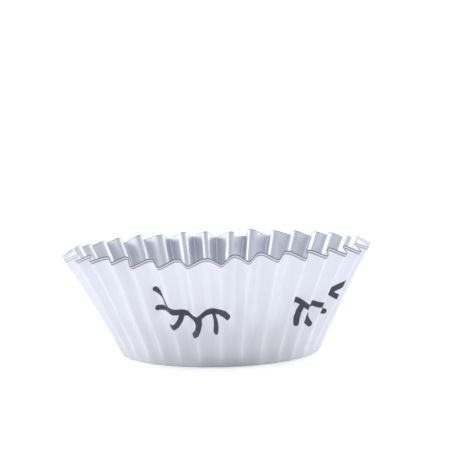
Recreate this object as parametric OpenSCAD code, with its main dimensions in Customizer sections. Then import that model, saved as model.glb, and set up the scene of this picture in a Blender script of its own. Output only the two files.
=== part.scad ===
// Pleated cupcake liner, pressed from one round blank of foil-lined paper.
// The base lies on the XY plane, centred on the origin, and the mouth opens along +Z.
// The outer folds of the pleats lie on a cone that flares a little at the cut edge. The inner
// folds are pressed in from it, so they end higher and the cut edge runs in a wave.

/* [Base] */
// Diameter of the base, where its plane meets the line of the outer folds
base_d = 50; // [32:0.5:70]
// Radius of the bend between the base and the wall
bend_r = 1.2; // [0.8:0.1:3]

/* [Wall] */
// Length of an outer fold, up the sheet from the corner of the base to the cut edge
wall_len = 29.2; // [18:0.2:40]
// Lean of the outer folds from upright, in degrees
wall_lean = 25.5; // [12:0.5:35]
// How far the cut edge curls out from the straight line of the outer folds
edge_flare = 1; // [0:0.1:2]

/* [Pleats] */
// Number of pleats around the wall
pleat_count = 34; // [24:2:36]
// Depth of the pleats at the cut edge, from the outer folds to the inner folds
pleat_depth = 3.3; // [2.4:0.1:4.5]
// Radius of an outer fold at the cut edge, on the outside of the sheet
outer_fold_r = 0.6; // [0.4:0.05:0.7]
// Radius of an inner fold at the cut edge, on the outside of the sheet
inner_fold_r = 1.4; // [0.8:0.1:1.6]

/* [Sheet] */
// Thickness of the paper with its foil lining
sheet_t = 0.2; // [0.1:0.01:0.3]

/* [Facets] */
// Rows of facets around the bend
bend_rows = 3; // [2:1:3]
// Rows of facets up the wall, closer together near the base
wall_rows = 4; // [3:1:5]

/* [Hidden] */

// The pleats deepen up the sheet by this power, quickly at first
pleat_growth = 0.65;
// The rows of facets up the wall are spaced by this power
row_growth = 1.5;
// The cut edge curls out by this power of the distance up the wall
flare_growth = 3;
// The two folds may fill this share of half a pleat, and the inner one tightens to fit
folds_share = 0.85;
// An outer fold faces the front, which is -Y
front = -90;

pitch = 360 / pleat_count;
bend_turn = 90 - wall_lean;
bend_len = bend_r * bend_turn * PI / 180;
corner_setback = bend_r * tan(bend_turn / 2);
flat_r = base_d / 2 - corner_setback;
straight_len = wall_len - corner_setback;
sheet_len = bend_len + straight_len;
bend_end = [flat_r + bend_r * sin(bend_turn), bend_r * (1 - cos(bend_turn))];

// Distances up the sheet, from the edge of the flat base, at which there is a row of points
stations = concat(
    [for (i = [0:bend_rows]) bend_len * i / bend_rows],
    [for (i = [1:wall_rows]) bend_len + straight_len * pow(i / wall_rows, row_growth)]);

// Share of the straight wall that lies below a station
function wall_share(s) = max(s - bend_len, 0) / straight_len;

// How far the curl carries the sheet outwards, and how far it tips it, in degrees
function flare_at(s) = edge_flare * pow(wall_share(s), flare_growth);
function flare_tip(s) =
    atan(edge_flare * flare_growth * pow(wall_share(s), flare_growth - 1) / straight_len);

// How far the sheet has turned up from the plane of the base, in degrees
function turn_at(s) = bend_turn * min(s / bend_len, 1) - flare_tip(s);

// Radius and height of the line of the outer folds
function outline_at(s) = s <= bend_len
    ? [flat_r + bend_r * sin(turn_at(s)), bend_r * (1 - cos(turn_at(s)))]
    : bend_end + (s - bend_len) * [cos(bend_turn), sin(bend_turn)]
        + flare_at(s) * [sin(bend_turn), -cos(bend_turn)];

// Direction from the outer folds to the inner ones, as radius and height
function inward_at(s) = [-sin(turn_at(s)), cos(turn_at(s))];

// Depth of the pleats
function depth_at(s) = pleat_depth * pow(s / sheet_len, pleat_growth);

// Half the width of a pleat around the wall, halfway down its depth
function half_at(s) = PI * (outline_at(s)[0] + inward_at(s)[0] * depth_at(s) / 2) / pleat_count;

// At the cut edge a pleat is two round folds joined by flat flanks. The slope of the flanks, in
// degrees from the line around the wall, is that of the line that touches both folds.
edge_half = half_at(sheet_len);
inner_r = min(inner_fold_r, folds_share * edge_half - outer_fold_r);
folds_r = outer_fold_r + inner_r;
flank_len = sqrt(pow(edge_half, 2) + pow(pleat_depth, 2) - 2 * folds_r * pleat_depth);
flank_slope = atan2(pleat_depth - folds_r, edge_half) + atan2(folds_r, flank_len);

// Points of half a pleat at the cut edge, from an outer fold to the next inner one. Each holds
// its distance around the wall, its distance pressed in, and the slope of the sheet there.
half_pleat = concat(
    [for (a = [0, flank_slope / 2, flank_slope])
        [outer_fold_r * sin(a), outer_fold_r * (1 - cos(a)), a]],
    [for (a = [flank_slope, flank_slope / 2])
        [edge_half - inner_r * sin(a), pleat_depth - inner_r * (1 - cos(a)), a]]);

// The other half is its mirror image about the inner fold
function mirrored(p) = [2 * edge_half - p[0], p[1], -p[2]];
pleat = concat(
    half_pleat,
    [[edge_half, pleat_depth, 0]],
    [for (k = [len(half_pleat) - 1:-1:1]) mirrored(half_pleat[k])]);

function unit(v) = v / norm(v);

// One row of points around the sheet. Lower rows have the same pleat, narrower and shallower.
// "through" is the distance from the outside of the sheet, straight through it.
function ring(s, through) =
    let (line = outline_at(s), inward = inward_at(s))
    let (across = half_at(s) / edge_half, deep = depth_at(s) / pleat_depth)
    [for (n = [0:pleat_count - 1]) for (p = pleat)
        let (a = front + pitch * (n + p[0] / (2 * edge_half)))
        let (facing = unit([-deep * sin(p[2]), across * cos(p[2])]))
        let (pressed = deep * p[1] + through * facing[1], aside = through * facing[0])
        let (r = line[0] + inward[0] * pressed)
        [r * cos(a) - aside * sin(a), r * sin(a) + aside * cos(a), line[1] + inward[1] * pressed]];

rows = len(stations);
columns = pleat_count * len(pleat);

// Every point: the outside of the sheet, then its inside, then the two centres of the base
points = concat(
    [for (s = stations) each ring(s, 0)],
    [for (s = stations) each ring(s, sheet_t)],
    [[0, 0, 0], [0, 0, sheet_t]]);
outside = 0;
inside = rows * columns;
centre_below = 2 * rows * columns;
centre_above = centre_below + 1;

// Number of a point, by its side of the sheet, its row and its column
function at(side, i, j) = side + i * columns + j % columns;

// Two triangles over four points. The cut between them changes sides in the second half of a
// pleat, so that the two flanks mirror each other.
function second_half(j) = j % len(pleat) >= len(half_pleat);
function patch(a, b, c, d, other_cut) =
    other_cut ? [[a, b, d], [b, c, d]] : [[a, b, c], [a, c, d]];

faces = concat(
    [for (i = [0:rows - 2]) for (j = [0:columns - 1])
        each patch(at(outside, i, j), at(outside, i + 1, j), at(outside, i + 1, j + 1),
            at(outside, i, j + 1), second_half(j))],
    [for (i = [0:rows - 2]) for (j = [0:columns - 1])
        each patch(at(inside, i, j), at(inside, i, j + 1), at(inside, i + 1, j + 1),
            at(inside, i + 1, j), second_half(j))],
    [for (j = [0:columns - 1])
        each patch(at(outside, rows - 1, j), at(inside, rows - 1, j), at(inside, rows - 1, j + 1),
            at(outside, rows - 1, j + 1), second_half(j))],
    [for (j = [0:columns - 1]) [centre_below, at(outside, 0, j), at(outside, 0, j + 1)]],
    [for (j = [0:columns - 1]) [centre_above, at(inside, 0, j + 1), at(inside, 0, j)]]);

// The whole liner, one folded sheet
module liner() {
    color("ghostwhite") polyhedron(points = points, faces = faces, convexity = 12);
}

liner();
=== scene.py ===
"""Cupcake liner: one pleated sheet of printed paper with a foil lining, on a plain studio floor."""

import math
import random

import bpy
import numpy as np
from bpy.props import FloatProperty, FloatVectorProperty, IntProperty, PointerProperty
from mathutils import Matrix, Vector


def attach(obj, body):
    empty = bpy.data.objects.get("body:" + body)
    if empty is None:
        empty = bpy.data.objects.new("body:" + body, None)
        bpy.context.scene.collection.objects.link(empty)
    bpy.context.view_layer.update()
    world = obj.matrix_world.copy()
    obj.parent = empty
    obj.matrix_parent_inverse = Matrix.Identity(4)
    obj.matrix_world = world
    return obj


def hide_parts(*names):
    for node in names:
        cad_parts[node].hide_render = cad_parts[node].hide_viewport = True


bl_info = {
    "name": "Cupcake liner",
    "version": (1, 0, 0),
    "blender": (4, 5, 0),
    "location": "View3D > Sidebar > Cupcake liner",
    "description": "Makes a pleated cupcake liner of printed paper with a foil lining",
    "category": "Add Mesh",
}

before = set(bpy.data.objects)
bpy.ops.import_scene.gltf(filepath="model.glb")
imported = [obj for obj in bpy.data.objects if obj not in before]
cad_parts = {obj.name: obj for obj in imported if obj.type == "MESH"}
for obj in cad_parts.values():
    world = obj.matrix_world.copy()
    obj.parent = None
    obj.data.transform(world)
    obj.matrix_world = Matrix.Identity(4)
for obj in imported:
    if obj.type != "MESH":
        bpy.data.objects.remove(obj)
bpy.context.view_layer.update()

MM = 0.001

# The pleats deepen up the sheet, and the cut edge curls out, by these powers.
PLEAT_GROWTH = 0.65
FLARE_GROWTH = 3

# Steps of the mesh: rings on the flat base as shares of its radius, rows around the bend, rows up
# the wall with the power that spaces them, and steps along a round fold and along a flat flank.
BASE_RINGS = (0.08, 0.3, 0.52, 0.72, 0.86, 0.95)
BEND_ROWS = 6
WALL_ROWS, WALL_SPACING = 36, 1.15
FOLD_STEPS, FLANK_STEPS = 3, 4

# How the folds on the front half wander by the cut edge, from 8 outer folds left of the front
# one to 8 right of it, with the inner folds between them: degrees around, and millimetres up.
FRONT_WANDER = (
    (-2.0, -0.2), (-2.4, -0.3), (-2.4, -0.5), (-2.6, -0.6), (1.4, 0.1), (-0.6, -0.3), (1.6, 0.6),
    (0.4, -0.2), (1.7, 0.6), (-0.1, 0.0), (0.1, -0.2), (0.2, -0.5), (0.4, -0.2), (0.7, -0.4),
    (0.2, 0.0), (1.0, -0.4), (1.0, 0.2), (0.9, 0.2), (0.1, 0.5), (0.2, 0.3), (0.0, 0.6),
    (0.5, 0.3), (0.4, 0.2), (-0.3, 0.0), (-0.4, 0.2), (0.1, -0.2), (-0.4, 0.0), (0.4, -0.3),
    (0.4, -0.3), (1.5, -0.4), (0.7, 0.1), (0.0, 0.2), (-0.2, 0.4),
)

# How far the same outer folds stand aside at the foot of the wall, in degrees around.
FRONT_FOOT = (0, 0, 1.3, 0, 0.4, -0.2, -0.2, 0.1, 0.6, 0.8, 0.8, 1.5, 0.9, 0.5, 0.6, 0.8, 0)

# The folds of the back half wander by up to this much: degrees around and millimetres up by the
# cut edge, then degrees around at the foot.
BACK_WANDER = (0.7, 0.4)
BACK_FOOT = 0.5
WANDER_SEED = 11

# From the foot to the cut edge the folds wander, and rise, by these powers.
WANDER_GROWTH, RISE_GROWTH = 0.7, 1.5

# The flanks swell by about this many millimetres at the cut edge, in this many waves.
SWELL_MM, SWELL_WAVES, SWELL_SEED = 0.16, 14, 5

# A bulge fades away from its side of the liner by the first power. The right one grows across the
# base by the second, and is the same all the way up the wall.
BULGE_SIDES, BULGE_BASE = 6, 4

# One closed eye of the print, on the flat blank, in millimetres from its middle: across towards
# the other eye of the pair, and up. Each stroke is a run of (across, up, half width).
EYE_STROKES = (
    ((-10.35, 6.9, 0.67), (-6.5, 2.3, 0.69), (-5.5, 1.45, 0.76), (-2.6, 0.3, 0.75),
     (-0.9, 0.1, 0.74), (0.5, 0.1, 0.68), (1.2, -0.5, 0.66), (2.2, -0.25, 0.72),
     (5.85, 1.1, 0.76), (7.8, 1.65, 0.73), (8.9, 0.8, 0.75), (10.5, -0.95, 0.75)),
    ((-6.5, 2.3, 0.65), (-9.6, 1.75, 0.73), (-10.9, 1.85, 0.7)),
    ((-3.4, 0.4, 0.75), (-4.2, -1.3, 0.8), (-5.3, -2.3, 0.8), (-6.4, -2.7, 0.75),
     (-7.3, -2.6, 0.7)),
    ((1.65, -0.8, 0.95), (1.75, -2.2, 0.83), (1.3, -3.6, 0.8), (0.55, -4.6, 0.83),
     (-0.3, -5.2, 0.8)),
    ((5.65, 0.8, 0.6), (6.4, -1.3, 0.75), (6.55, -2.9, 0.88), (6.33, -4.35, 0.85)),
)

# Where the eyes stand: turns from the front to the middle of a pair, turns from there to the
# middle of each eye, and millimetres up the sheet.
PAIR_TURN, EYE_TURN, EYE_UP = 19.0 / 360, 30.9 / 360, 14.0

# The other eye of the pair is printed a little higher, in millimetres.
OTHER_EYE_UP = 0.52

# Its inner half is drawn out towards its partner: millimetres at its middle, more for each
# millimetre up, and the height below which that stays the same. The drawn part begins and is
# full at these places across the eye.
OTHER_EYE_DRAWN, OTHER_EYE_SLANT, OTHER_EYE_LOWEST = 0.95, 0.1, -2
OTHER_EYE_INNER = (-3, 4)

# Millimetres over which the ink fades, on each side of its edge.
INK_EDGE = 0.05

# Painted shade on the paper low on the wall, in three coats, strongest in the middle of the front
# and back and darkest in the last few millimetres above the base. Each has the millimetres up where
# it begins and where it is full, the same two places between the sides, 0, and the middle of the
# front and back, 1, its share at the sides and in the middle, and its colour as a share of the
# painted shade colour.
LOW_SHADE_COATS = (
    (24, 0, 0.55, 0.95, 0.14, 0.53, 1.0),
    (6, -1, 0.55, 0.95, 0.32, 0.75, 1.0),
    (3.5, 0, 0.93, 1.0, 0.0, 0.35, 0.5),
)

# The middle of the front and back, where the painted shade low on the wall is strongest, in radians
# right of the front fold.
SHADE_MIDDLE = 0.07

# Millimetres from the cut edge to the middle of the finer grey line along it.
RIM_LINE_AT = 0.68

# Middle of the liner. The lights aim at it, and the camera's place is measured from it.
MIDDLE = Vector((0, 0, 0.013))

# Millimetres across the camera's sensor.
SENSOR_WIDTH = 36


class LinerSizes(bpy.types.PropertyGroup):
    """Sizes of the folded sheet"""

    base_diameter: FloatProperty(
        name="Base diameter", description="Across the flat base, out to the outer folds",
        default=0.050, min=0.02, unit="LENGTH")
    bend_radius: FloatProperty(
        name="Bend radius", description="Bend between the base and the wall",
        default=0.0012, min=0.0002, unit="LENGTH")
    fold_length: FloatProperty(
        name="Fold length", description="An outer fold, from the base's corner to the cut edge",
        default=0.0292, min=0.01, unit="LENGTH")
    lean: FloatProperty(
        name="Lean", description="Lean of the outer folds from upright",
        default=math.radians(25.5), min=0, max=1, unit="ROTATION")
    edge_flare: FloatProperty(
        name="Edge flare", description="How far the cut edge curls out",
        default=0.0010, min=0, unit="LENGTH")
    pleats: IntProperty(
        name="Pleats", description="Number of pleats around the wall", default=34, min=16)
    pleat_depth: FloatProperty(
        name="Pleat depth", description="From the outer folds to the inner folds at the cut edge",
        default=0.0033, min=0.001, unit="LENGTH")
    outer_fold_radius: FloatProperty(
        name="Outer fold radius", description="Outside of the sheet at an outer fold",
        default=0.0006, min=0.0003, unit="LENGTH")
    inner_fold_radius: FloatProperty(
        name="Inner fold radius", description="Outside of the sheet at an inner fold",
        default=0.0014, min=0.0003, unit="LENGTH")
    thickness: FloatProperty(
        name="Sheet thickness", description="The paper with its foil",
        default=0.0002, min=0.0001, unit="LENGTH")
    rim_rise: FloatProperty(
        name="Rim rise", description="How far the cut edge stands higher on the right",
        default=0.0006, unit="LENGTH")
    left_bulge: FloatProperty(
        name="Left bulge", description="How far the upper wall stands out on the left",
        default=0.0010, min=0, unit="LENGTH")
    right_bulge: FloatProperty(
        name="Right bulge", description="How far the whole wall stands out on the right",
        default=0.0005, min=0, unit="LENGTH")
    unevenness: FloatProperty(
        name="Unevenness", description="How far the folds wander from their regular places",
        default=1.0, min=0, max=1.5)


class LinerColours(bpy.types.PropertyGroup):
    """Colours of the print, the paper and the foil, and of the painted shade, light and shadow on them
    """

    paper: FloatVectorProperty(
        name="Paper", description="Coated outside of the paper",
        default=(0.735, 0.743, 0.800), min=0, max=1, subtype="COLOR")
    # Colour of the painted shade low on the wall, not a grey of the paper itself.
    paper_painted_shade: FloatVectorProperty(
        name="Paper near the base", description="Paper rubbed grey by the press near the base",
        default=(0.40, 0.403, 0.435), min=0, max=1, subtype="COLOR")
    # Pale colour of the outer folds low on the wall, partly wear and partly painted highlight, and of
    # the painted light between the folds higher up.
    wear_and_painted_light: FloatVectorProperty(
        name="Crease", description="Paper along the worn folds, and the cleaner paper between them",
        default=(0.83, 0.845, 0.91), min=0, max=1, subtype="COLOR")
    ink: FloatVectorProperty(
        name="Ink", description="Printed figures",
        default=(0.042, 0.037, 0.063), min=0, max=1, subtype="COLOR")
    foil: FloatVectorProperty(
        name="Foil", description="Silver lining",
        default=(0.70, 0.72, 0.77), min=0, max=1, subtype="COLOR")
    # Painted shadow along the cut edge, darkest at the front and back.
    cut_edge_shadow: FloatVectorProperty(
        name="Cut edge", description="Raw edge of the sheet",
        default=(0.17, 0.17, 0.21), min=0, max=1, subtype="COLOR")
    # Grey of the band and the finer line along the cut edge, on both sides of the sheet.
    rim_line: FloatVectorProperty(
        name="Rim line", description="Pressed line along the cut edge",
        default=(0.26, 0.26, 0.32), min=0, max=1, subtype="COLOR")


class StageSettings(bpy.types.PropertyGroup):
    """Floor, light and camera"""

    floor_colour: FloatVectorProperty(
        name="Floor", description="Plain floor",
        default=(0.86, 0.86, 0.86), min=0, max=1, subtype="COLOR")
    camera_distance: FloatProperty(
        name="Camera distance", description="From the camera to the middle of the liner",
        default=0.351, min=0.1, unit="LENGTH")
    camera_rise: FloatProperty(
        name="Camera rise", description="Height of the camera's place above the horizon",
        default=math.radians(7.56), unit="ROTATION")
    camera_dip: FloatProperty(
        name="Camera dip", description="How far the camera looks down",
        default=math.radians(4.5), unit="ROTATION")
    camera_swing: FloatProperty(
        name="Camera swing", description="How far the camera looks to the right",
        default=math.radians(0.37), unit="ROTATION")
    camera_roll: FloatProperty(
        name="Camera roll", description="How far the camera leans to the right",
        default=math.radians(1.18), unit="ROTATION")
    focal_length: FloatProperty(
        name="Focal length", description="In millimetres, on a 36 mm sensor",
        default=109.3, min=20)


def pleat_section(sizes, edge_half):
    """One pleat at the cut edge: place in half pleats, depth from 0 to 1, slope, share of length."""
    outer, inner, depth = sizes.outer_fold_radius, sizes.inner_fold_radius, sizes.pleat_depth
    both = outer + inner
    flank = math.sqrt(edge_half**2 + depth**2 - 2 * both * depth)
    slope = math.atan2(depth - both, edge_half) + math.atan2(both, flank)
    turns = [slope * k / FOLD_STEPS for k in range(FOLD_STEPS + 1)]
    run = [(outer * math.sin(a), outer * (1 - math.cos(a)), a) for a in turns]
    away = [(edge_half - inner * math.sin(a), depth - inner * (1 - math.cos(a)), a)
            for a in reversed(turns)]
    (x0, y0, _), (x1, y1, _) = run[-1], away[0]
    run += [(x0 + (x1 - x0) * k / FLANK_STEPS, y0 + (y1 - y0) * k / FLANK_STEPS, slope)
            for k in range(1, FLANK_STEPS)]
    run += away
    run += [(2 * edge_half - x, y, -a) for x, y, a in reversed(run[1:-1])]
    x, y, a = np.array(run).T
    steps = np.hypot(np.diff(np.append(x, 2 * edge_half)), np.diff(np.append(y, 0)))
    share = np.concatenate([[0], np.cumsum(steps)])[:-1] / steps.sum()
    return x / edge_half, y / depth, a, share


def fold_wander(pleats):
    """How far every fold, outer and inner from the front on, stands aside at the foot and at the
    cut edge, in radians around, and how far it rises at the cut edge, in metres."""
    rng = random.Random(WANDER_SEED)
    wander = [tuple(rng.uniform(-most, most) for most in BACK_WANDER) for _ in range(2 * pleats)]
    for k, fold in enumerate(FRONT_WANDER):
        wander[k - len(FRONT_WANDER) // 2] = fold
    turn, rise = np.array(wander).T
    foot = np.array([rng.uniform(-BACK_FOOT, BACK_FOOT) for _ in range(pleats)])
    for k, aside in enumerate(FRONT_FOOT):
        foot[k - len(FRONT_FOOT) // 2] = aside
    between = (foot + np.roll(foot, -1)) / 2
    foot = np.stack([foot, between], -1).ravel()
    return np.radians(foot), np.radians(turn), rise * MM


def flank_swell(around, up):
    """Small swellings of the flanks, mostly from -1 to 1, that differ from flank to flank."""
    rng = random.Random(SWELL_SEED)
    swell = np.zeros(np.broadcast(around, up).shape)
    for _ in range(SWELL_WAVES):
        waves, lift, phase = rng.randint(9, 60), rng.uniform(-7, 7), rng.uniform(0, 6.28)
        swell += np.sin(waves * around + lift * up + phase) / SWELL_WAVES
    return swell * 2


def liner_skin(sizes, through):
    """Points of one side of the sheet as an array of rows and columns, and its blank coordinates."""
    bend_turn = math.pi / 2 - sizes.lean
    bend, radius = sizes.bend_radius, sizes.base_diameter / 2
    setback = bend * math.tan(bend_turn / 2)
    flat, straight = radius - setback, sizes.fold_length - setback
    bend_length = bend * bend_turn
    length = bend_length + straight

    # How far every row lies up the sheet, from the edge of the flat base.
    base_rings = flat * np.array(BASE_RINGS) - flat
    bend_rings = bend_length * np.arange(BEND_ROWS) / BEND_ROWS
    wall_rings = bend_length + straight * (np.arange(WALL_ROWS + 1) / WALL_ROWS) ** WALL_SPACING
    s = np.concatenate([base_rings, bend_rings, wall_rings])[:, None]
    far = np.clip(s / length, 0, 1)

    # Radius and height of the line of the outer folds, and the way from it to the inner folds.
    past = np.clip(s - bend_length, 0, None)
    share = past / straight
    flare = sizes.edge_flare * share**FLARE_GROWTH
    tip = np.arctan(sizes.edge_flare * FLARE_GROWTH * share ** (FLARE_GROWTH - 1) / straight)
    bent = bend_turn * np.clip(s / bend_length, 0, 1)
    line_r = (np.minimum(s, 0) + flat + bend * np.sin(bent) + past * math.cos(bend_turn)
              + flare * math.sin(bend_turn))
    line_z = bend * (1 - np.cos(bent)) + past * math.sin(bend_turn) - flare * math.cos(bend_turn)
    in_r, in_z = -np.sin(bent - tip), np.cos(bent - tip)
    depth = sizes.pleat_depth * far**PLEAT_GROWTH
    half = math.pi * (line_r + in_r * depth / 2) / sizes.pleats
    edge_half = float(half[-1, 0])

    # The columns around the sheet, carried along by the two folds that each lies between.
    section = pleat_section(sizes, edge_half)
    pleat = np.repeat(np.arange(sizes.pleats), len(section[0]))
    place, deep, slope, path = (np.tile(values, sizes.pleats) for values in section)
    folds = 2 * sizes.pleats
    near = (2 * pleat + place.astype(int)) % folds
    part = place - place.astype(int)
    blend = part * part * (3 - 2 * part)
    foot_by, turn_by, rise_by = (
        by[near] * (1 - blend) + by[(near + 1) % folds] * blend for by in fold_wander(sizes.pleats))
    around = ((pleat + place / 2) / sizes.pleats * 2 * math.pi)[None, :]
    angle = around + sizes.unevenness * (foot_by + (turn_by - foot_by) * far**WANDER_GROWTH)

    # A lower row has narrower and shallower pleats. The sheet is equally thick everywhere.
    across, down = half / edge_half, depth / sizes.pleat_depth
    lie = np.hypot(down * np.sin(slope), across * np.cos(slope))
    aside = through * -down * np.sin(slope) / lie
    swell = SWELL_MM * MM * sizes.unevenness * far * flank_swell(around, far)
    pressed = depth * deep + through * across * np.cos(slope) / lie + swell
    bulge = np.where(np.sin(angle) > 0,
                     sizes.right_bulge * np.clip(line_r / radius, 0, 1) ** BULGE_BASE,
                     sizes.left_bulge * far)
    r = line_r + in_r * pressed + bulge * np.sin(angle) ** BULGE_SIDES
    x = r * np.sin(angle) + aside * np.cos(angle)
    y = -r * np.cos(angle) + aside * np.sin(angle)
    z = line_z + in_z * pressed + far**RISE_GROWTH * (
        sizes.unevenness * rise_by + sizes.rim_rise * np.sin(angle))
    lift = np.broadcast_to(s, x.shape) - setback
    turns = np.broadcast_to((pleat + path) / sizes.pleats, x.shape)
    return np.stack([x, y, z], -1), turns, lift


def liner_mesh(sizes):
    """The closed sheet: its outside, its foil side and the cut edge between them."""
    outside, turns, lift = liner_skin(sizes, 0.0)
    inside = liner_skin(sizes, sizes.thickness)[0]
    rows, columns = outside.shape[:2]
    first_in = rows * columns
    points = np.concatenate([
        outside.reshape(-1, 3), inside.reshape(-1, 3), [[0, 0, 0], [0, 0, sizes.thickness]]])
    low, high = 2 * first_in, 2 * first_in + 1

    faces, kinds, blank = [], [], []

    def corner(i, j):
        k = j % columns
        return i * columns + k, (turns[i, k] + (j == columns), lift[i, k])

    for j in range(columns):
        for i in range(rows - 1):
            ring = [corner(i, j), corner(i + 1, j), corner(i + 1, j + 1), corner(i, j + 1)]
            faces.append([k for k, _ in reversed(ring)])
            blank += [uv for _, uv in reversed(ring)]
            faces.append([k + first_in for k, _ in ring])
            blank += [uv for _, uv in ring]
            kinds += [0, 1]
        left, right = corner(rows - 1, j), corner(rows - 1, j + 1)
        faces.append([left[0], right[0], right[0] + first_in, left[0] + first_in])
        blank += [left[1], right[1], right[1], left[1]]
        kinds.append(2)
        left, right = corner(0, j), corner(0, j + 1)
        middle = ((left[1][0] + right[1][0]) / 2, -sizes.base_diameter / 2)
        faces.append([low, right[0], left[0]])
        blank += [middle, right[1], left[1]]
        faces.append([high, left[0] + first_in, right[0] + first_in])
        blank += [middle, left[1], right[1]]
        kinds += [0, 1]

    mesh = bpy.data.meshes.new("liner_sheet")
    mesh.from_pydata(points.tolist(), [], faces)
    mesh.polygons.foreach_set("material_index", kinds)
    mesh.polygons.foreach_set("use_smooth", [True] * len(faces))
    layer = mesh.uv_layers.new(name="blank")
    layer.data.foreach_set("uv", np.array(blank).ravel())
    mesh.set_sharp_from_angle(angle=math.radians(60))
    mesh.validate()
    mesh.update()
    return mesh


class Wiring:
    """Adds nodes to a material or a world. An input may be a number or another node's output."""

    def __init__(self, owner, shader="BSDF_PRINCIPLED"):
        owner.use_nodes = True
        self.owner, self.tree = owner, owner.node_tree
        self.shader = next(n for n in self.tree.nodes if n.type == shader)

    def plug(self, socket, value):
        if isinstance(value, bpy.types.NodeSocket):
            self.tree.links.new(value, socket)
        else:
            socket.default_value = value

    def node(self, kind, settings=None, **inputs):
        made = self.tree.nodes.new(kind)
        for key, value in (settings or {}).items():
            setattr(made, key, value)
        for key, value in inputs.items():
            self.plug(made.inputs[key], value)
        return made

    def math(self, operation, *values, clamp=False):
        made = self.tree.nodes.new("ShaderNodeMath")
        made.operation, made.use_clamp = operation, clamp
        for socket, value in zip(made.inputs, values):
            self.plug(socket, value)
        return made.outputs[0]

    def vector(self, operation, *values, out=0):
        made = self.tree.nodes.new("ShaderNodeVectorMath")
        made.operation = operation
        for socket, value in zip(made.inputs, values):
            self.plug(socket, value)
        return made.outputs[out]

    def join(self, x, y, z=0.0):
        return self.node("ShaderNodeCombineXYZ", X=x, Y=y, Z=z).outputs[0]

    def noise(self, place, scale, detail=3.0, roughness=0.5):
        return self.node("ShaderNodeTexNoise", Vector=place, Scale=scale, Detail=detail,
                         Roughness=roughness).outputs["Fac"]

    def fade(self, value, low, high, start=0.0, end=1.0):
        """A smooth way from start to end, while the value goes from low to high."""
        made = self.node("ShaderNodeMapRange", {"interpolation_type": "SMOOTHSTEP"})
        for key, number in zip(("Value", "From Min", "From Max", "To Min", "To Max"),
                               (value, low, high, start, end)):
            self.plug(made.inputs[key], number)
        return made.outputs[0]

    def mix(self, share, a, b):
        """Colour a where the share is 0, and colour b where it is 1."""
        made = self.node("ShaderNodeMix", {"data_type": "RGBA"})
        self.plug(made.inputs[0], share)
        for socket, colour in ((made.inputs[6], a), (made.inputs[7], b)):
            self.plug(socket, (*colour, 1) if isinstance(colour, tuple) else colour)
        return made.outputs[2]

    def bump(self, height, strength, distance, under=None):
        made = self.node("ShaderNodeBump", Height=height, Strength=strength, Distance=distance)
        if under is not None:
            self.plug(made.inputs["Normal"], under)
        return made.outputs[0]

    def finish(self, colour, normal=None, **inputs):
        self.plug(self.shader.inputs["Base Color"], colour)
        if normal is not None:
            self.plug(self.shader.inputs["Normal"], normal)
        for key, value in inputs.items():
            self.plug(self.shader.inputs[key.replace("_", " ")], value)
        return self.owner


def blank_place(wiring):
    """Turns around the blank from the front, and millimetres up the sheet from the base's corner."""
    uv = wiring.node("ShaderNodeUVMap", {"uv_map": "blank"}).outputs[0]
    apart = wiring.node("ShaderNodeSeparateXYZ", Vector=uv)
    return apart.outputs[0], wiring.math("MULTIPLY", apart.outputs[1], 1 / MM)


def facing(wiring, turn):
    """1 at the front and the back, and 0 at the sides."""
    around = wiring.math("MULTIPLY_ADD", turn, 2 * math.pi, -SHADE_MIDDLE)
    return wiring.math("ABSOLUTE", wiring.math("COSINE", around))


def rim_clearness(wiring, turn):
    """How clear the lines along the cut edge are. They are paler at the sides."""
    return wiring.fade(facing(wiring, turn), 0.1, 0.6, 0.2, 1.0)


def stroke_distance(wiring, place, start, end):
    """Distance in millimetres from one length of a stroke, which may widen along its way."""
    (ax, ay, aw), (bx, by, bw) = start, end
    way = Vector((bx - ax, by - ay, 0))
    offset = wiring.vector("SUBTRACT", place, (ax, ay, 0))
    along = wiring.vector("DOT_PRODUCT", offset, tuple(way / way.length_squared), out=1)
    along = wiring.math("ADD", along, 0, clamp=True)
    nearest = wiring.vector("MULTIPLY", (way.x, way.y, 0), wiring.join(along, along, along))
    away = wiring.vector("DISTANCE", offset, nearest, out=1)
    return wiring.math("SUBTRACT", away, wiring.math("MULTIPLY_ADD", along, bw - aw, aw))


def print_mask(wiring, turn, up, sizes):
    """1 on the printed figures: two pairs of closed eyes, on opposite sides of the liner."""
    round_mm = 2 * math.pi * (sizes.base_diameter / 2 / MM + EYE_UP)
    from_pair = wiring.math("WRAP", wiring.math("SUBTRACT", turn, PAIR_TURN), 0.25, -0.25)
    across = wiring.math("SUBTRACT", EYE_TURN, wiring.math("ABSOLUTE", from_pair))
    across = wiring.math("MULTIPLY", across, round_mm)
    other_eye = wiring.math("GREATER_THAN", from_pair, 0)
    height = wiring.math("SUBTRACT", up, EYE_UP)
    height = wiring.math("MULTIPLY_ADD", other_eye, -OTHER_EYE_UP, height)
    drawn = wiring.math("MAXIMUM", height, OTHER_EYE_LOWEST)
    drawn = wiring.math("MULTIPLY_ADD", drawn, OTHER_EYE_SLANT, OTHER_EYE_DRAWN)
    drawn = wiring.math("MULTIPLY", drawn, wiring.fade(across, *OTHER_EYE_INNER))
    across = wiring.math("SUBTRACT", across, wiring.math("MULTIPLY", drawn, other_eye))
    place = wiring.join(across, height)
    nearest = None
    for stroke in EYE_STROKES:
        for start, end in zip(stroke, stroke[1:]):
            away = stroke_distance(wiring, place, start, end)
            nearest = away if nearest is None else wiring.math("MINIMUM", nearest, away)
    return wiring.fade(nearest, INK_EDGE, -INK_EDGE)


def edge_mm(sizes):
    """Millimetres up the sheet from the base's corner to the cut edge, along the blank."""
    turn = math.pi / 2 - sizes.lean
    spared = sizes.bend_radius * (2 * math.tan(turn / 2) - turn)
    return (sizes.fold_length - spared) / MM


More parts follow.
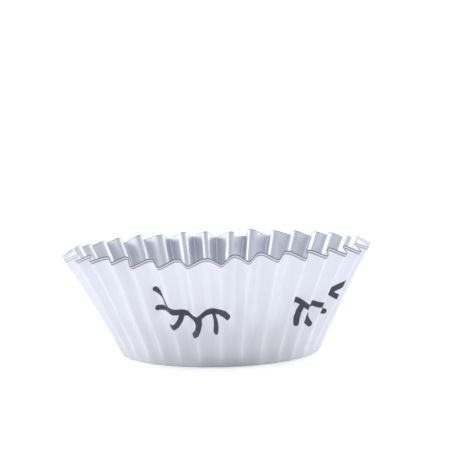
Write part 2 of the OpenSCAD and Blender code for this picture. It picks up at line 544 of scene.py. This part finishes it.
def low_painted_shade(w, up, front, tint, colours):
    """Painted shade low on the wall, most in the middle of the front and back and darkest just above
    the base.
    """
    wall = w.fade(up, -4, -1)  # the grey doesn't reach under the base
    for top, foot, side_on, front_on, sides, middle, light in LOW_SHADE_COATS:
        shaded = w.math("MULTIPLY", w.fade(up, top, foot),
                        w.fade(front, side_on, front_on, sides, middle))
        tint = w.mix(w.math("MULTIPLY", shaded, wall), tint,
                     tuple(c * light for c in colours.paper_painted_shade))
    return tint


def rim_lines(w, turn, up, tint, sizes, colours):
    """A faint grey band along the cut edge, a finer grey line in it, and painted shadow right at the
    edge.
    """
    from_edge = w.math("SUBTRACT", edge_mm(sizes), up)
    from_line = w.math("ABSOLUTE", w.math("SUBTRACT", from_edge, RIM_LINE_AT))
    clear = rim_clearness(w, turn)
    # The last of these is the painted shadow at the edge itself.
    for line, colour in ((w.fade(from_edge, 0.75, 0.50, 0.0, 0.18), colours.rim_line),
                         (w.fade(from_line, 0.30, 0.08, 0.0, 0.88), colours.rim_line),
                         (w.fade(from_edge, 0.28, 0.14), colours.cut_edge_shadow)):
        tint = w.mix(w.math("MULTIPLY", line, clear), tint, tuple(colour))
    return tint


def printed_paper(sizes, colours):
    """Smooth coated paper with its print, folds paled by wear and a painted highlight, painted light
    and shade, and lines along the cut edge.
    """
    w = Wiring(bpy.data.materials.new("printed_paper"))
    turn, up = blank_place(w)
    here = w.node("ShaderNodeTexCoord").outputs["Object"]

    mottle = w.noise(here, 160, 4)
    tint = w.mix(w.fade(mottle, 0.35, 0.7, 0.0, 0.10), tuple(colours.paper),
                 tuple(c * 0.86 for c in colours.paper))
    front = facing(w, turn)
    # Painted shade low on the wall.
    tint = low_painted_shade(w, up, front, tint, colours)

    # Painted light high on the wall brightens the paper between the outer folds towards the inner
    # folds, against the shade there. Low on the wall the outer folds are paler, partly from wear and
    # partly as a painted highlight, less in the middle of the front and back.
    pleat = w.math("PINGPONG", w.math("MULTIPLY", turn, sizes.pleats), 0.5)
    valley_light = w.math("MULTIPLY", w.fade(pleat, 0.0, 0.5, 0.0, 0.6), w.fade(up, 6, 14))
    tint = w.mix(valley_light, tint, tuple(colours.wear_and_painted_light))
    girth = w.math("MULTIPLY_ADD", up, 2 * math.pi, math.pi * sizes.base_diameter / MM)
    pleat_mm = w.math("MULTIPLY", pleat, w.math("DIVIDE", girth, sizes.pleats))
    reach = w.fade(w.noise(here, 900, 2), 0.3, 0.7, 0.6, 1.1)
    wear_and_painted_light = w.fade(w.math("DIVIDE", pleat_mm, reach), 1, 0)
    wear_and_painted_light = w.math("MULTIPLY", wear_and_painted_light, w.fade(up, 0.5, 4, 0.0, 0.45))
    wear_and_painted_light = w.math("MULTIPLY", wear_and_painted_light, w.fade(up, 5, 13, 1.0, 0.0))
    wear_and_painted_light = w.math("MULTIPLY", wear_and_painted_light, w.fade(front, 0.55, 0.97, 1.0, 0.3))
    tint = w.mix(wear_and_painted_light, tint, tuple(colours.wear_and_painted_light))

    ink = print_mask(w, turn, up, sizes)
    ink_wear_and_highlight = w.mix(w.fade(w.noise(here, 2600, 2), 0.42, 0.75, 0.0, 0.16),
                     tuple(colours.ink), tuple(c * 3 for c in colours.ink))
    # The ink pales a little along the outer folds, with the same wear and painted highlight.
    ink_wear_and_highlight = w.mix(w.math("MULTIPLY", wear_and_painted_light, 0.10), ink_wear_and_highlight, tuple(colours.paper))
    tint = rim_lines(w, turn, up, w.mix(ink, tint, ink_wear_and_highlight), sizes, colours)

    # Fibres that run up the sheet, and a finer grain over them.
    streak = w.noise(w.join(w.math("MULTIPLY", turn, 700), w.math("MULTIPLY", up, 0.12)), 1.0, 3)
    normal = w.bump(streak, 0.08, 0.12 * MM)
    normal = w.bump(w.noise(here, 5200, 4, 0.6), 0.12, 0.06 * MM, normal)
    rough = w.fade(mottle, 0.3, 0.7, 0.40, 0.52)
    return w.finish(tint, normal, Roughness=rough, Specular_IOR_Level=0.45)


def foil_lining(sizes, colours):
    """Bright foil with the press's fine crinkles, a little darker along the outer folds except on the
    base.
    """
    w = Wiring(bpy.data.materials.new("foil_lining"))
    turn, up = blank_place(w)
    here = w.node("ShaderNodeTexCoord").outputs["Object"]
    cloud = w.noise(here, 180, 3)
    tint = w.mix(w.fade(cloud, 0.3, 0.7), tuple(colours.foil), tuple(c * 0.93 for c in colours.foil))
    pleat = w.math("PINGPONG", w.math("MULTIPLY", turn, sizes.pleats), 0.5)
    fold = w.math("MULTIPLY", w.fade(pleat, 0.05, 0.0), w.fade(up, -3, 1, 0.0, 0.25))
    tint = w.mix(fold, tint, tuple(c * 0.7 for c in colours.foil))
    # The same grey line along the cut edge, on the foil side.
    from_edge = w.math("SUBTRACT", edge_mm(sizes), up)
    line = w.math("MULTIPLY", w.fade(from_edge, 0.35, 0.05, 0.0, 0.8), rim_clearness(w, turn))
    tint = w.mix(line, tint, tuple(colours.rim_line))
    brushed = w.noise(w.join(w.math("MULTIPLY", turn, 260), w.math("MULTIPLY", up, 0.10)), 1.0, 2)
    normal = w.bump(brushed, 0.3, 0.25 * MM)
    normal = w.bump(w.noise(here, 700, 2), 0.12, 0.12 * MM, normal)
    rough = w.fade(cloud, 0.25, 0.75, 0.30, 0.40)
    return w.finish(tint, normal, Roughness=rough, Metallic=1.0)


def cut_edge_shadow(colours):
    """Raw edge of the sheet with its fibre, painted dark as a shadow at the front and back and near
    the paper's colour at the sides.
    """
    w = Wiring(bpy.data.materials.new("cut_edge_shadow"))
    here = w.node("ShaderNodeTexCoord").outputs["Object"]
    fibre = w.noise(here, 3000, 3)
    tint = w.mix(w.fade(fibre, 0.35, 0.7), tuple(colours.cut_edge_shadow),
                 tuple(c * 1.25 for c in colours.cut_edge_shadow))
    tint = w.mix(rim_clearness(w, blank_place(w)[0]), tuple(colours.paper), tint)
    return w.finish(tint, w.bump(fibre, 0.3, 0.06 * MM), Roughness=0.6)


class MakeLiner(bpy.types.Operator):
    """Make the pleated liner, which stands for the solid one"""

    bl_idname = "cupcake_liner.make_liner"
    bl_label = "Make the liner"

    def execute(self, context):
        sizes, colours = context.scene.liner_sizes, context.scene.liner_colours
        mesh = liner_mesh(sizes)
        for material in (printed_paper(sizes, colours), foil_lining(sizes, colours),
                         cut_edge_shadow(colours)):
            mesh.materials.append(material)
        liner = bpy.data.objects.new("pleated_liner", mesh)
        context.scene.collection.objects.link(liner)
        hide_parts("liner")
        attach(liner, "root")
        return {"FINISHED"}


class MakeStage(bpy.types.Operator):
    """Make the floor, the lights and the camera"""

    bl_idname = "cupcake_liner.make_stage"
    bl_label = "Make the stage"

    def execute(self, context):
        settings = context.scene.liner_stage
        self.floor(context, settings)
        self.backdrop(context)
        self.light(context, "left_light", place=(-0.55, -0.25, 0.40), size=0.30, power=0.45)
        self.light(context, "right_light", place=(0.60, 0.05, 0.15), size=0.30, power=0.35)
        self.camera(context, settings)
        return {"FINISHED"}

    def floor(self, context, settings):
        """A wide floor a hair below the base. It gives off a little light, as a light table does."""
        mesh = bpy.data.meshes.new("floor")
        half, below = 3.0, 0.05 * MM
        corners = [(-half, -half), (half, -half), (half, half), (-half, half)]
        mesh.from_pydata([(x, y, -below) for x, y in corners], [], [(0, 1, 2, 3)])
        w = Wiring(bpy.data.materials.new("floor_paint"))
        here = w.node("ShaderNodeTexCoord").outputs["Object"]
        tint = w.mix(w.fade(w.noise(here, 30, 2), 0.3, 0.7), tuple(settings.floor_colour),
                     tuple(c * 0.995 for c in settings.floor_colour))
        mesh.materials.append(w.finish(tint, Roughness=0.9, Specular_IOR_Level=0.1,
                                       Emission_Color=(1, 1, 1, 1), Emission_Strength=0.3))
        floor = bpy.data.objects.new("floor", mesh)
        context.scene.collection.objects.link(floor)

    def backdrop(self, context):
        """White all round, but for the greyer room high in front and above, which the foil mirrors."""
        w = Wiring(bpy.data.worlds.new("studio"), "BACKGROUND")
        towards = w.node("ShaderNodeTexCoord").outputs["Generated"]
        apart = w.node("ShaderNodeSeparateXYZ", Vector=towards).outputs
        room = w.math("MULTIPLY", w.fade(apart[2], 0.12, 0.5), w.fade(apart[1], 0.2, -0.4))
        room = w.math("MAXIMUM", room, w.fade(apart[2], 0.45, 0.95, 0.0, 0.6))
        tint = w.mix(room, (1.0, 1.0, 1.0), (0.55, 0.57, 0.63))
        sides = w.math("MULTIPLY", apart[0], apart[0])
        w.plug(w.shader.inputs["Color"], tint)
        w.plug(w.shader.inputs["Strength"], w.math("MULTIPLY_ADD", sides, 0.44, 1.17))
        context.scene.world = w.owner
        context.scene.view_settings.view_transform = "Standard"

    def light(self, context, name, place, size, power):
        data = bpy.data.lights.new(name, "AREA")
        data.shape, data.size, data.energy = "DISK", size, power
        lamp = bpy.data.objects.new(name, data)
        lamp.location = place
        lamp.rotation_euler = (MIDDLE - lamp.location).to_track_quat("-Z", "Y").to_euler()
        context.scene.collection.objects.link(lamp)

    def camera(self, context, settings):
        data = bpy.data.cameras.new("camera")
        data.lens, data.sensor_width = settings.focal_length, SENSOR_WIDTH
        data.clip_start, data.clip_end = 0.01, 20
        camera = bpy.data.objects.new("camera", data)
        rise, dip, swing = settings.camera_rise, settings.camera_dip, settings.camera_swing
        place = Vector((0, -math.cos(rise), math.sin(rise))) * settings.camera_distance
        ahead = Vector((math.sin(swing) * math.cos(dip), math.cos(swing) * math.cos(dip),
                        -math.sin(dip)))
        right = Vector((math.cos(swing), -math.sin(swing), 0))
        up = right.cross(ahead)
        c, s = math.cos(settings.camera_roll), math.sin(settings.camera_roll)
        right, up = right * c - up * s, up * c + right * s
        turned = Matrix((right, up, -ahead)).transposed()
        camera.matrix_world = Matrix.Translation(place + MIDDLE) @ turned.to_4x4()
        context.scene.collection.objects.link(camera)
        context.scene.camera = camera


class LinerPanel(bpy.types.Panel):
    """Sizes, colours and steps of the liner"""

    bl_idname = "VIEW3D_PT_cupcake_liner"
    bl_label = "Cupcake liner"
    bl_space_type = "VIEW_3D"
    bl_region_type = "UI"
    bl_category = "Cupcake liner"

    def draw(self, context):
        for group in ("liner_sizes", "liner_colours", "liner_stage"):
            box = self.layout.box()
            settings = getattr(context.scene, group)
            for name in settings.__annotations__:
                box.prop(settings, name)
        self.layout.operator(MakeLiner.bl_idname)
        self.layout.operator(MakeStage.bl_idname)


CLASSES = (LinerSizes, LinerColours, StageSettings, MakeLiner, MakeStage, LinerPanel)


def register():
    """Make the settings, the steps and the panel known to Blender."""
    for cls in CLASSES:
        bpy.utils.register_class(cls)
    bpy.types.Scene.liner_sizes = PointerProperty(type=LinerSizes)
    bpy.types.Scene.liner_colours = PointerProperty(type=LinerColours)
    bpy.types.Scene.liner_stage = PointerProperty(type=StageSettings)


def unregister():
    """Take them out again."""
    for name in ("liner_sizes", "liner_colours", "liner_stage"):
        delattr(bpy.types.Scene, name)
    for cls in reversed(CLASSES):
        bpy.utils.unregister_class(cls)


def main():
    """Make the liner and its stage."""
    register()
    bpy.ops.cupcake_liner.make_liner()
    bpy.ops.cupcake_liner.make_stage()


if __name__ == "__main__":
    main()
